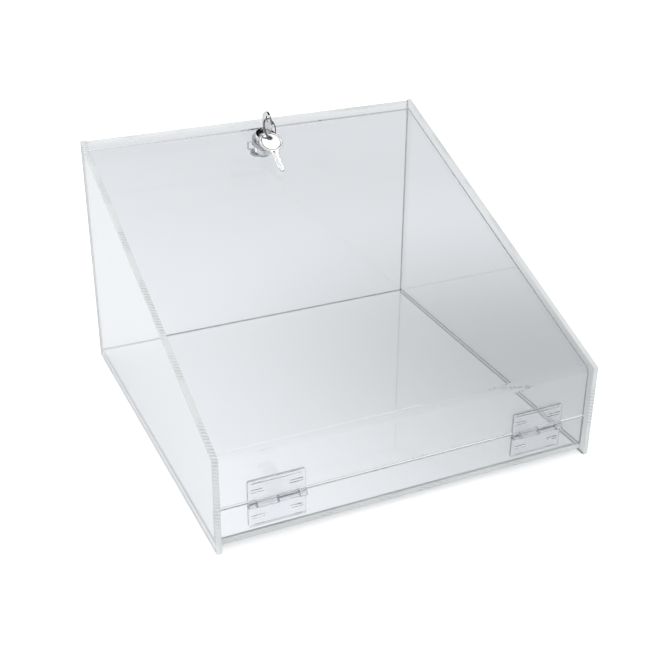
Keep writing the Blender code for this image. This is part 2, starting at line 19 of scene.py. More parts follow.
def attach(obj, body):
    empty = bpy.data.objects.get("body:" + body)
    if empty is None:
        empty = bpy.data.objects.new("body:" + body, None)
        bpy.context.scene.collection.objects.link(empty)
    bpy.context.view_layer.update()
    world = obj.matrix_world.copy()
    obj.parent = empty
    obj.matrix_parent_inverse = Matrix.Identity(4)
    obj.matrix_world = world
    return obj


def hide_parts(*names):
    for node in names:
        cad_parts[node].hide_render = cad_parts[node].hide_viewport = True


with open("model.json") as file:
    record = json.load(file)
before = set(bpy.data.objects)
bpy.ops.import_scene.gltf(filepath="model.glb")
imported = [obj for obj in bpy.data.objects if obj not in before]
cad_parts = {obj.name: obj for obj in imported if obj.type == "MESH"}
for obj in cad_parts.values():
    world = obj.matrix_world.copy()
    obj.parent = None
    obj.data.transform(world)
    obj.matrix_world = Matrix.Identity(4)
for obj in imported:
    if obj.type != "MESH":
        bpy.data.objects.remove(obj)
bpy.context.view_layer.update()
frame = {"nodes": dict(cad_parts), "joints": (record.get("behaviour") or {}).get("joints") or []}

MM = 0.001
RIGHT = (1.0, 0.0, 0.0)
BACK = (0.0, 1.0, 0.0)
UP = (0.0, 0.0, 1.0)
SAME_POINT = 0.002 * MM
SPECK = 0.0005 * MM
Direction = tuple[float, float, float]
Span = tuple[float, float]
Material = bpy.types.Material
Tree = bpy.types.NodeTree
Socket = bpy.types.NodeSocket
log = logging.getLogger("display_case")


class Body(Enum):
    """Bodies of the case that a piece can move with."""

    CASE = "case"
    LID = "lid"
    PLUG = "plug"
    KEY = "key"
    RING = "ring"
    SPARE = "spare"


class Slot(Enum):
    """Finishes that the record names."""

    ACRYLIC = "acrylic_sheet"
    MOULDING = "clear_moulding"
    CHROME = "chrome_plate"
    STEEL = "steel"
    BRASS = "brass"


def linear(code: str) -> tuple[float, float, float, float]:
    """Turn an sRGB hex colour into the linear one that shaders take.

    Args:
        code: six hex digits after a hash sign.

    Returns:
        Linear red, green and blue, and an alpha of 1.
    """
    shares = [int(code[start:start + 2], 16) / 255.0 for start in (1, 3, 5)]
    bent = [share / 12.92 if share <= 0.04045 else ((share + 0.055) / 1.055) ** 2.4 for share in shares]
    return (bent[0], bent[1], bent[2], 1.0)


def add_node(tree: Tree, kind: str, settings: dict | None = None,
             values: dict | None = None, links: dict | None = None) -> bpy.types.Node:
    """Add one node with its settings, its socket values and its incoming links.

    Args:
        tree: node tree of a material or of the world.
        kind: the node's type name.
        settings: properties of the node itself.
        values: input sockets, by name or number, and the value that each is set to.
        links: input sockets, by name or number, and the output socket that feeds each.

    Returns:
        The new node.
    """
    node = tree.nodes.new(kind)
    for name, value in (settings or {}).items():
        setattr(node, name, value)
    for socket, value in (values or {}).items():
        node.inputs[socket].default_value = value
    for socket, source in (links or {}).items():
        tree.links.new(source, node.inputs[socket])
    return node


def facing_share(tree: Tree, direction: Direction, normal: Socket) -> Socket:
    """How squarely a surface faces a direction or away from it: 1 squarely, 0 edge on."""
    cosine = add_node(tree, "ShaderNodeVectorMath", {"operation": "DOT_PRODUCT"}, {1: direction},
                      {0: normal})
    return add_node(tree, "ShaderNodeMath", {"operation": "ABSOLUTE"}, {},
                    {0: cosine.outputs["Value"]}).outputs[0]


def mirrored_only(tree: Tree, path: bpy.types.Node) -> Socket:
    """A share that is 1 for mirrored rays. Rays bent through a sheet count as glossy and come off."""
    return add_node(tree, "ShaderNodeMath", {"operation": "SUBTRACT", "use_clamp": True}, {},
                    {0: path.outputs["Is Glossy Ray"], 1: path.outputs["Is Transmission Ray"]}).outputs[0]


def new_material(name: str) -> tuple[Material, Tree, bpy.types.Node]:
    """Make an empty material with its output node.

    Args:
        name: the material's name.

    Returns:
        The material, its node tree and its output node.
    """
    material = bpy.data.materials.new(name)
    material.use_nodes = True
    tree = material.node_tree
    tree.nodes.clear()
    return material, tree, tree.nodes.new("ShaderNodeOutputMaterial")


@dataclass(frozen=True)
class CastAcrylic:
    """Cast acrylic sheet. Its faces are as smooth as the glass they were cast on, its sawn edges are dull.

    The faces let light through almost unchanged, and the edges glow a faint grey green, because light
    reaches them through the length of the sheet. A sheet's edges are known by where they face: away from
    its face normal, or, on the bent lid, towards one of its edge directions.
    """

    name: str
    face_normal: Direction = UP
    edge_directions: tuple[Direction, ...] = ()
    face_colour: str = "#FBFCFD"
    edge_colour: str = "#F5F8F8"
    edge_shade: str = "#B6BEBF"
    depth_colour: str = "#DCEAE8"
    depth_density: float = 2.0
    ior: float = 1.49
    face_roughness: float = 0.004
    edge_roughness: float = 0.2
    edge_clearness: float = 0.15
    arris: float = 0.25 * MM
    saw_pitch: float = 2.2 * MM
    saw_lean: Direction = (0.3, 0.55, 0.8)
    saw_patch: float = 35.0 * MM
    saw_wander: float = 4.5
    saw_mark: float = 0.45
    saw_relief: float = 0.2 * MM
    grain: float = 0.7 * MM
    grain_mark: float = 0.75

    def edge_mask(self, tree: Tree, normal: Socket) -> Socket:
        """Work out a share that is 1 on the sawn edges and 0 on the cast faces.

        Args:
            tree: the material's node tree.
            normal: the surface normal in the piece's own frame.

        Returns:
            The socket that carries the share.
        """
        if not self.edge_directions:
            return add_node(tree, "ShaderNodeMapRange", {}, {"From Min": 0.99, "From Max": 0.90},
                            {"Value": facing_share(tree, self.face_normal, normal)}).outputs[0]
        shares = []
        for direction in self.edge_directions:
            cosine = add_node(tree, "ShaderNodeVectorMath", {"operation": "DOT_PRODUCT"}, {1: direction},
                              {0: normal})
            share = add_node(tree, "ShaderNodeMapRange", {}, {"From Min": 0.96, "From Max": 0.985},
                             {"Value": cosine.outputs["Value"]})
            shares.append(share.outputs[0])
        most = shares.pop()
        for share in shares:
            most = add_node(tree, "ShaderNodeMath", {"operation": "MAXIMUM"}, {},
                            {0: most, 1: share}).outputs[0]
        return most

    def saw_marks(self, tree: Tree, place: Socket, blotches: Socket) -> Socket:
        """Work out how bright a sawn edge is, from the saw's dark marks and its fine grain.

        The marks are the crests of sin(2 pi lean . place / pitch + wander * blotches), and they come and
        go along the edge.

        Args:
            tree: the material's node tree.
            place: the place in the piece's own frame.
            blotches: noise of the saw's pitch.

        Returns:
            The socket with the brightness, from 0 to 1.
        """
        lean = tuple(share * 2.0 * math.pi / self.saw_pitch for share in self.saw_lean)
        swing = add_node(tree, "ShaderNodeVectorMath", {"operation": "DOT_PRODUCT"}, {1: lean}, {0: place})
        wander = add_node(tree, "ShaderNodeMath", {"operation": "MULTIPLY_ADD"}, {1: self.saw_wander},
                          {0: blotches, 2: swing.outputs["Value"]})
        ripple = add_node(tree, "ShaderNodeMath", {"operation": "SINE"}, {}, {0: wander.outputs[0]})
        lines = add_node(tree, "ShaderNodeMapRange", {},
                         {"From Min": -0.2, "From Max": 0.8, "To Min": 1.0, "To Max": self.saw_mark},
                         {"Value": ripple.outputs[0]})
        spots = add_node(tree, "ShaderNodeTexNoise", {}, {"Scale": 1.0 / self.saw_patch, "Detail": 1.0},
                         {"Vector": place})
        patch = add_node(tree, "ShaderNodeMapRange", {}, {"From Min": 0.50, "From Max": 0.65},
                         {"Value": spots.outputs["Fac"]})
        chatter = add_node(tree, "ShaderNodeMix", {"data_type": "FLOAT"}, {2: 1.0},
                           {0: patch.outputs[0], 3: lines.outputs[0]})
        grain = add_node(tree, "ShaderNodeTexNoise", {}, {"Scale": 1.0 / self.grain, "Detail": 3.0},
                         {"Vector": place})
        speckle = add_node(tree, "ShaderNodeMapRange", {},
                           {"From Min": 0.35, "From Max": 0.65, "To Min": self.grain_mark},
                           {"Value": grain.outputs["Fac"]})
        return add_node(tree, "ShaderNodeMath", {"operation": "MULTIPLY"}, {},
                        {0: speckle.outputs[0], 1: chatter.outputs[0]}).outputs[0]

    def material(self) -> Material:
        """Build the material."""
        material, tree, output = new_material(self.name)
        coords = add_node(tree, "ShaderNodeTexCoord")
        place = coords.outputs["Object"]
        edge = self.edge_mask(tree, coords.outputs["Normal"])
        blotches = add_node(tree, "ShaderNodeTexNoise", {}, {"Scale": 1.0 / self.saw_pitch, "Detail": 1.0},
                            {"Vector": place}).outputs["Fac"]
        edge_tint = add_node(tree, "ShaderNodeMix", {"data_type": "RGBA"},
                             {6: linear(self.edge_shade), 7: linear(self.edge_colour)},
                             {0: self.saw_marks(tree, place, blotches)})
        tint = add_node(tree, "ShaderNodeMix", {"data_type": "RGBA"}, {6: linear(self.face_colour)},
                        {0: edge, 7: edge_tint.outputs[2]})
        height = add_node(tree, "ShaderNodeMath", {"operation": "MULTIPLY"}, {}, {0: blotches, 1: edge})
        bump = add_node(tree, "ShaderNodeBump", {}, {"Strength": 0.5, "Distance": self.saw_relief},
                        {"Height": height.outputs[0]})
        dull = add_node(tree, "ShaderNodeMapRange", {},
                        {"To Min": self.face_roughness, "To Max": self.edge_roughness}, {"Value": edge})
        clear = add_node(tree, "ShaderNodeMapRange", {}, {"To Min": 1.0, "To Max": self.edge_clearness},
                         {"Value": edge})
        shader = add_node(tree, "ShaderNodeBsdfPrincipled", {}, {"IOR": self.ior},
                          {"Base Color": tint.outputs[2], "Roughness": dull.outputs[0],
                           "Normal": bump.outputs["Normal"], "Transmission Weight": clear.outputs[0]})
        depth = add_node(tree, "ShaderNodeVolumeAbsorption", {},
                         {"Color": linear(self.depth_colour), "Density": self.depth_density})
        tree.links.new(shader.outputs["BSDF"], output.inputs["Surface"])
        tree.links.new(depth.outputs["Volume"], output.inputs["Volume"])
        return material


@dataclass(frozen=True)
class MouldedPlastic:
    """Clear injection moulding: glossy from the polished mould, with faint flow marks and a cool cast.

    The narrow edges, which face away from y, are milky. On the real hinge the glue lets light out of the
    leaf there, and without it the edges would be dark.
    """

    name: str = "clear_moulding"
    colour: str = "#FAFBFD"
    ior: float = 1.52
    roughness: float = 0.03
    clearness: float = 0.96
    edge_clearness: float = 0.45
    flow_marks: float = 4.0 * MM
    flow_relief: float = 0.15 * MM

    def material(self) -> Material:
        """Build the material, whose gloss and surface waver along the flow of the plastic."""
        material, tree, output = new_material(self.name)
        coords = add_node(tree, "ShaderNodeTexCoord")
        clear = add_node(tree, "ShaderNodeMapRange", {},
                         {"From Min": 0.1, "From Max": 0.4, "To Min": self.edge_clearness,
                          "To Max": self.clearness},
                         {"Value": facing_share(tree, BACK, coords.outputs["Normal"])})
        flow = add_node(tree, "ShaderNodeTexNoise", {}, {"Scale": 1.0 / self.flow_marks, "Detail": 2.0},
                        {"Vector": coords.outputs["Object"]})
        dull = add_node(tree, "ShaderNodeMapRange", {},
                        {"To Min": self.roughness * 0.5, "To Max": self.roughness * 2.0},
                        {"Value": flow.outputs["Fac"]})
        bump = add_node(tree, "ShaderNodeBump", {}, {"Strength": 0.35, "Distance": self.flow_relief},
                        {"Height": flow.outputs["Fac"]})
        shader = add_node(tree, "ShaderNodeBsdfPrincipled", {},
                          {"IOR": self.ior, "Base Color": linear(self.colour)},
                          {"Roughness": dull.outputs[0], "Normal": bump.outputs["Normal"],
                           "Transmission Weight": clear.outputs[0]})
        tree.links.new(shader.outputs["BSDF"], output.inputs["Surface"])
        return material


@dataclass(frozen=True)
class PlatedMetal:
    """Metal with a thin bright plating, which follows every mark of the metal under it."""

    name: str
    colour: str
    roughness: float
    grain: float
    marks: float
    mark_relief: float = 0.05 * MM

    def material(self) -> Material:
        """Build the material: an even metal whose gloss varies a little with handling."""
        material, tree, output = new_material(self.name)
        coords = add_node(tree, "ShaderNodeTexCoord")
        wear = add_node(tree, "ShaderNodeTexNoise", {}, {"Scale": 1.0 / self.grain, "Detail": 4.0},
                        {"Vector": coords.outputs["Object"]})
        dull = add_node(tree, "ShaderNodeMapRange", {},
                        {"From Min": 0.3, "From Max": 0.7, "To Min": self.roughness * 0.7,
                         "To Max": self.roughness * 1.4}, {"Value": wear.outputs["Fac"]})
        bump = add_node(tree, "ShaderNodeBump", {}, {"Strength": self.marks, "Distance": self.mark_relief},
                        {"Height": wear.outputs["Fac"]})
        shader = add_node(tree, "ShaderNodeBsdfPrincipled", {},
                          {"Base Color": linear(self.colour), "Metallic": 1.0},
                          {"Roughness": dull.outputs[0], "Normal": bump.outputs["Normal"]})
        tree.links.new(shader.outputs["BSDF"], output.inputs["Surface"])
        return material


@dataclass(frozen=True)
class Axes:
    """A place with its own three directions, in which a piece is drawn before it is put there."""

    origin: Vector
    across: Vector
    along: Vector

    @property
    def out(self) -> Vector:
        """Third direction, square to the other two."""
        return self.across.cross(self.along)

    def place(self, points: np.ndarray) -> np.ndarray:
        """Move points drawn in these axes to where they belong: origin + x across + y along + z out."""
        turn = np.array([self.across, self.along, self.out])
        return np.array(self.origin) + points @ turn


@dataclass
class Surface:
    """Points and faces of a closed surface."""

    points: np.ndarray
    faces: list[tuple[int, ...]]


def skin(loops: np.ndarray, round_trip: bool = False) -> Surface:
    """Stretch a skin over a row of closed loops.

    Point j of loop i joins points j and j + 1 of loops i and i + 1 in one four-sided face. The row either
    closes on itself or ends in one flat face at each end.

    Args:
        loops: array of loops, points and coordinates.
        round_trip: whether the last loop joins the first.

    Returns:
        The closed surface.
    """
    count, around = loops.shape[:2]
    rows = np.arange(count if round_trip else count - 1)[:, None]
    columns = np.arange(around)[None, :]
    later = (rows + 1) % count
    beside = (columns + 1) % around
    corners = np.stack([rows * around + columns, rows * around + beside, later * around + beside,
                        later * around + columns], axis=-1)
    faces = [tuple(row) for row in corners.reshape(-1, 4).tolist()]
    if not round_trip:
        faces.append(tuple(range(around))[::-1])
        faces.append(tuple(range((count - 1) * around, count * around)))
    return Surface(loops.reshape(-1, 3), faces)


def full_turn(steps: int) -> np.ndarray:
    """Angles of equal steps round an axis, one row each."""
    return np.linspace(0.0, 2.0 * math.pi, steps, endpoint=False)[:, None]


def spun(radius: np.ndarray, height: np.ndarray) -> Surface:
    """Set closed profiles round the z axis: each point goes to (r cos t, r sin t, z).

    Args:
        radius: radius of the profile's corners, one row for each step round the axis.
        height: their height.

    Returns:
        The closed surface.
    """
    turn = full_turn(len(radius))
    return skin(np.stack([radius * np.cos(turn), radius * np.sin(turn), height], axis=-1), round_trip=True)


def turned(profile: list[tuple[float, float]], steps: int = 96) -> Surface:
    """Turn one closed profile of radius and height about the z axis."""
    corners = np.tile(np.array(profile), (steps, 1, 1))
    return spun(corners[..., 0], corners[..., 1])


def make_mesh(name: str, surface: Surface) -> bpy.types.Object:
    """Make an object from a surface, with doubled points merged and all faces outward.

    Args:
        name: the object's name.
        surface: its surface.

    Returns:
        The new object.
    """
    mesh = bpy.data.meshes.new(name)
    mesh.from_pydata(surface.points.tolist(), [], surface.faces)
    piece = bpy.data.objects.new(name, mesh)
    bpy.context.scene.collection.objects.link(piece)
    tidy(mesh)
    return piece


def tidy(mesh: bpy.types.Mesh) -> None:
    """Merge doubled points, drop edges too short to see, and turn every face outward.

    Args:
        mesh: the mesh that is changed.
    """
    work = bmesh.new()
    work.from_mesh(mesh)
    bmesh.ops.remove_doubles(work, verts=work.verts, dist=SAME_POINT)
    bmesh.ops.dissolve_degenerate(work, edges=work.edges, dist=SPECK)
    bmesh.ops.recalc_face_normals(work, faces=work.faces)
    work.to_mesh(mesh)
    work.free()


def move(piece: bpy.types.Object, change: Callable[[np.ndarray], np.ndarray]) -> None:
    """Move every point of a piece.

    Args:
        piece: the object whose mesh is changed.
        change: gives the new places of the points from the old ones.
    """
    mesh = piece.data
    points = np.empty(len(mesh.vertices) * 3)
    mesh.vertices.foreach_get("co", points)
    mesh.vertices.foreach_set("co", change(points.reshape(-1, 3)).ravel())
    mesh.update()


def cut(piece: bpy.types.Object, tools: list[bpy.types.Object], operation: str = "DIFFERENCE") -> None:
    """Cut tool bodies out of a piece, or join them to it, and remove the tools.

    Args:
        piece: the object that is changed.
        tools: the closed bodies to work with.
        operation: DIFFERENCE or UNION.
    """
    for tool in tools:
        step = piece.modifiers.new(tool.name, "BOOLEAN")
        step.operation = operation
        step.solver = "EXACT"
        step.object = tool
    bpy.context.view_layer.update()
    shape = piece.evaluated_get(bpy.context.evaluated_depsgraph_get())
    worked = bpy.data.meshes.new_from_object(shape)
    piece.modifiers.clear()
    piece.data = worked
    for tool in tools:
        bpy.data.objects.remove(tool, do_unlink=True)
    tidy(worked)


def finish_piece(piece: bpy.types.Object, material: Material, body: Body,
                 nodes: tuple[str, ...], sharp: float = 34.0) -> None:
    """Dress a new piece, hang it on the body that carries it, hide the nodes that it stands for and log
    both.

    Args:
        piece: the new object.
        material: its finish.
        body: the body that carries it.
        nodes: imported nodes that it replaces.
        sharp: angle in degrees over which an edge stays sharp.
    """
    piece.data.materials.clear()
    piece.data.materials.append(material)
    piece.data.shade_smooth()
    piece.data.set_sharp_from_angle(angle=math.radians(sharp))
    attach(piece, body.value)
    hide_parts(*nodes)
    log.info("%s: %d faces, rides on %s, replaces %s", piece.name, len(piece.data.polygons), body.value,
             ", ".join(nodes))


@dataclass(frozen=True)
class Floor:
    """A pale floor, white to the eye. Through the sheets it has a painted shade at the right and painted
    light in front.

    What is seen through the sheets glows with the strength seen_through * patch * near. The patch is a
    painted shade that eases from its share at its middle to 1 at its radius, and near is painted light that
    grows along its side direction, towards the front left. In mirrors the floor's colour gets dark over
    dusk_span in x, a painted shade that stands for a dark room to the right.
    """

    half: float = 6.0
    lift: float = 0.40
    paint: str = "#F2F3F5"
    dusk_paint: str = "#3A3C3F"
    dusk_span: Span = (0.3, 0.9)
    seen_colour: str = "#FCFDFF"
    seen_through: float = 0.96
    seen_share: float = 0.85
    painted_shade_middle: Direction = (0.24, -0.03, 0.0)
    painted_shade_radius: float = 0.40
    painted_shade_share: float = 0.50
    painted_light_side: Direction = (-0.25, -0.35, 0.0)
    painted_light_span: Span = (-0.24, 0.12)
    painted_light_strength: Span = (0.84, 1.20)

    def paint_socket(self, tree: Tree, path: bpy.types.Node, place: Socket) -> Socket:
        """Work out the colour of the paint, with a painted shade where a mirror shows it far to the right.

        Args:
            tree: the material's node tree.
            path: its light path node.
            place: the place on the floor.

        Returns:
            The socket with the colour.
        """
        across = add_node(tree, "ShaderNodeVectorMath", {"operation": "DOT_PRODUCT"}, {1: RIGHT}, {0: place})
        # painted shade: the floor's colour darkens far to the right in mirrors, standing for a dark room
        # there
        dusk = add_node(tree, "ShaderNodeMapRange", {"interpolation_type": "SMOOTHSTEP"},
                        {"From Min": self.dusk_span[0], "From Max": self.dusk_span[1]},
                        {"Value": across.outputs["Value"]})
        dimmed = add_node(tree, "ShaderNodeMath", {"operation": "MULTIPLY"}, {},
                          {0: mirrored_only(tree, path), 1: dusk.outputs[0]})
        return add_node(tree, "ShaderNodeMix", {"data_type": "RGBA"},
                        {6: linear(self.paint), 7: linear(self.dusk_paint)},
                        {0: dimmed.outputs[0]}).outputs[2]

    def seen_strength(self, tree: Tree, place: Socket) -> Socket:
        """Work out how bright the floor glows through the sheets, with its painted shade and painted light.

        Args:
            tree: the material's node tree.
            place: the place on the floor.

        Returns:
            The socket with the strength.
        """
        # painted shade: darker round a patch at the right of the floor seen through the sheets
        away = add_node(tree, "ShaderNodeVectorMath", {"operation": "DISTANCE"}, {1: self.painted_shade_middle},
                        {0: place})
        patch = add_node(tree, "ShaderNodeMapRange", {"interpolation_type": "SMOOTHSTEP"},
                         {"From Max": self.painted_shade_radius, "To Min": self.seen_through * self.painted_shade_share,
                          "To Max": self.seen_through}, {"Value": away.outputs["Value"]})
        # painted light: brighter towards the front left of the floor seen through the sheets
        nearer = add_node(tree, "ShaderNodeVectorMath", {"operation": "DOT_PRODUCT"}, {1: self.painted_light_side},
                          {0: place})
        near = add_node(tree, "ShaderNodeMapRange", {},
                        {"From Min": self.painted_light_span[0], "From Max": self.painted_light_span[1],
                         "To Min": self.painted_light_strength[0], "To Max": self.painted_light_strength[1]},
                        {"Value": nearer.outputs["Value"]})
        return add_node(tree, "ShaderNodeMath", {"operation": "MULTIPLY"}, {},
                        {0: patch.outputs[0], 1: near.outputs[0]}).outputs[0]

    def material(self) -> Material:
        """Build the floor's material."""
        material, tree, output = new_material("pale_floor")
        path = add_node(tree, "ShaderNodeLightPath")
        place = add_node(tree, "ShaderNodeTexCoord").outputs["Object"]
        diffuse = add_node(tree, "ShaderNodeBsdfDiffuse", {}, {},
                           {"Color": self.paint_socket(tree, path, place)})
        glow = add_node(tree, "ShaderNodeEmission", {}, {"Strength": self.lift})
        bright = add_node(tree, "ShaderNodeAddShader", {}, {}, {0: diffuse.outputs[0], 1: glow.outputs[0]})
        to_eye = add_node(tree, "ShaderNodeMixShader", {}, {},
                          {0: path.outputs["Is Camera Ray"], 1: diffuse.outputs[0], 2: bright.outputs[0]})
        # the floor seen through the sheets is a glow that carries the painted shade and painted light
        seen = add_node(tree, "ShaderNodeEmission", {}, {"Color": linear(self.seen_colour)},
                        {"Strength": self.seen_strength(tree, place)})
        share = add_node(tree, "ShaderNodeMath", {"operation": "MULTIPLY"}, {1: self.seen_share},
                         {0: path.outputs["Is Transmission Ray"]})
        both = add_node(tree, "ShaderNodeMixShader", {}, {},
                        {0: share.outputs[0], 1: to_eye.outputs[0], 2: seen.outputs[0]})
        tree.links.new(both.outputs[0], output.inputs["Surface"])
        return material

    def build(self) -> None:
        """Lay the floor under the case."""
        half = self.half
        mesh = bpy.data.meshes.new("floor")
        mesh.from_pydata([(-half, -half, 0.0), (half, -half, 0.0), (half, half, 0.0), (-half, half, 0.0)],
                         [], [(0, 1, 2, 3)])
        mesh.materials.append(self.material())
        floor = bpy.data.objects.new("floor", mesh)
        bpy.context.scene.collection.objects.link(floor)


@dataclass(frozen=True)
class DarkZone:
    """A part of the studio that mirrors find dark.

    It gets darker as the cosine of the angle from its middle grows from start to end.
    """

    middle: Direction
    start: float
    end: float
    darkest: float


@dataclass(frozen=True)
class Softbox:
    """A soft square lamp that faces the case. Its power is in watts."""

    name: str
    place: Direction
    side: float
    power: float

    def build(self) -> None:
        """Hang the lamp."""
        data = bpy.data.lights.new(self.name, "AREA")
        data.size = self.side
        data.energy = self.power
        lamp = bpy.data.objects.new(self.name, data)
        lamp.location = self.place
        lamp.rotation_euler = (-Vector(self.place)).to_track_quat("-Z", "Y").to_euler()
        bpy.context.scene.collection.objects.link(lamp)


@dataclass
class Studio:
    """Camera, floor and light. None of it belongs to the case."""

    camera_place: Direction = (-0.33702, -0.73615, 0.49027)
    heading: float = math.radians(24.85)
    dip: float = math.radians(27.77)
    roll: float = math.radians(0.49)
    lens: float = 62.1
    ceiling: DarkZone = DarkZone((0.36, 0.33, 0.87), 0.70, 0.93, 0.04)
    camera_side: DarkZone = DarkZone((0.35, -0.80, 0.47), 0.45, 0.95, 0.25)
    right_side: DarkZone = DarkZone((0.84, 0.40, 0.35), 0.67, 0.83, 0.05)
    left_lamp: Softbox = Softbox("left_softbox", (-1.6, 0.9, 1.5), 1.4, 6.0)
    overhead_lamp: Softbox = Softbox("overhead_softbox", (1.34, -0.14, 3.94), 0.85, 3.8)

    def camera(self) -> None:
        """Stand the camera where the photograph was taken from."""
        forward = Vector((math.sin(self.heading) * math.cos(self.dip),
                          math.cos(self.heading) * math.cos(self.dip), -math.sin(self.dip)))
        level = Vector((math.cos(self.heading), -math.sin(self.heading), 0.0))
        upright = level.cross(forward)
        right = math.cos(self.roll) * level + math.sin(self.roll) * upright
        top = math.cos(self.roll) * upright - math.sin(self.roll) * level
        data = bpy.data.cameras.new("camera")
        data.lens = self.lens
        data.sensor_width = 36.0
        data.clip_start = 0.01
        data.clip_end = 50.0
        camera = bpy.data.objects.new("camera", data)
        turn = Matrix((right, top, -forward)).transposed()
        camera.matrix_world = Matrix.Translation(self.camera_place) @ turn.to_4x4()
        bpy.context.scene.collection.objects.link(camera)
        bpy.context.scene.camera = camera

    def sky(self) -> None:
        """Surround the case with a white studio that has dark zones in mirrors only."""
        world = bpy.data.worlds.new("studio")
        world.use_nodes = True
        tree = world.node_tree
        tree.nodes.clear()
        gaze = add_node(tree, "ShaderNodeTexCoord").outputs["Generated"]
        path = add_node(tree, "ShaderNodeLightPath")
        shares = []
        for zone in (self.ceiling, self.camera_side, self.right_side):
            cosine = add_node(tree, "ShaderNodeVectorMath", {"operation": "DOT_PRODUCT"}, {1: zone.middle},
                              {0: gaze})
            share = add_node(tree, "ShaderNodeMapRange", {"interpolation_type": "SMOOTHSTEP"},
                             {"From Min": zone.start, "From Max": zone.end, "To Min": 1.0,
                              "To Max": zone.darkest}, {"Value": cosine.outputs["Value"]})
            shares.append(share.outputs[0])
        level = shares.pop()
        for share in shares:
            level = add_node(tree, "ShaderNodeMath", {"operation": "MULTIPLY"}, {},
                             {0: level, 1: share}).outputs[0]
        strength = add_node(tree, "ShaderNodeMix", {"data_type": "FLOAT"}, {2: 1.0},
                            {0: mirrored_only(tree, path), 3: level})
        back = add_node(tree, "ShaderNodeBackground", {}, {"Color": (1.0, 1.0, 1.0, 1.0)},
                        {"Strength": strength.outputs[0]})
        output = tree.nodes.new("ShaderNodeOutputWorld")
        tree.links.new(back.outputs[0], output.inputs["Surface"])
        bpy.context.scene.world = world

    def build(self) -> None:
        """Set the view transform, and make the camera, the floor and the light."""
        bpy.context.scene.view_settings.view_transform = "Standard"
        self.camera()
        Floor().build()
        self.sky()
        self.left_lamp.build()
        self.overhead_lamp.build()


@dataclass
class Sheets:
    """The six acrylic sheets, which stay as packed and get their finish."""

    uphill: Vector
    arris_angle: float = math.radians(40)

    def build(self) -> None:
        """Dress each sheet in acrylic that knows its own faces from its sawn edges."""
        normals = {"left_side_panel": RIGHT, "right_side_panel": RIGHT, "base_panel": UP,
                   "front_rail": BACK, "back_panel": BACK}
        directions = (RIGHT, (-1.0, 0.0, 0.0), tuple(self.uphill), (0.0, 0.0, -1.0))
        finishes = {node: CastAcrylic(node + "_acrylic", normal) for node, normal in normals.items()}
        finishes["lid_panel"] = CastAcrylic("lid_panel_acrylic", edge_directions=directions)
        for node, finish in finishes.items():
            dress(node, finish.material())
            arris = frame["nodes"][node].modifiers.new("arris", "BEVEL")
            arris.width = finish.arris
            arris.segments = 2
            arris.limit_method = "ANGLE"
            arris.angle_limit = self.arris_angle


def bell(value: np.ndarray, start: float, end: float) -> np.ndarray:
    """A bell with steep sides, 1 / (1 + d ** 10), where d is 1 at start and end and 0 midway."""
    return 1.0 / (1.0 + ((value - (start + end) / 2.0) / ((end - start) / 2.0)) ** 10)


def strip(value: np.ndarray, middle: float, width: float) -> np.ndarray:
    """The same bell, by its middle and its width."""
    return bell(value, middle - width / 2.0, middle + width / 2.0)


